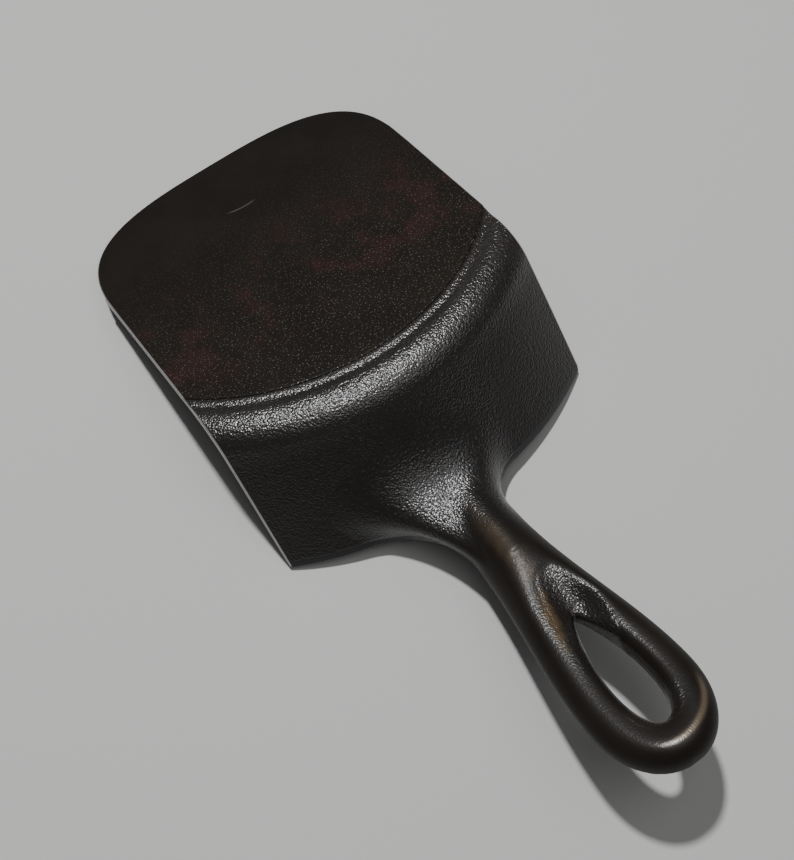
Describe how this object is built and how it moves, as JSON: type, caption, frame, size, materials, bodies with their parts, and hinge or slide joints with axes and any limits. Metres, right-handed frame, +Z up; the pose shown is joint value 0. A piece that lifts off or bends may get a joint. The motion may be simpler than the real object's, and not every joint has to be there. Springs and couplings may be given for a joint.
{
  "type": "scoop turner",
  "caption": "Cast-iron kitchen turner cut from a small skillet: flat blade, curved back wall and a looped handle, lying bottom up.",
  "frame": {"origin": "middle of the bounding box's bottom face, on the table that the turner lies on, bottom up", "axes": "+Y from the handle's loop to the blade's front edge, +X to the right seen from behind the handle, +Z up"},
  "size_m": [0.096, 0.215, 0.0397],
  "materials": {
    "seasoned_iron": "seasoned, satin, fine sand-cast grain"
  },
  "bodies": {
    "root": {"turner_casting": "seasoned_iron"}
  },
  "joints": []
}
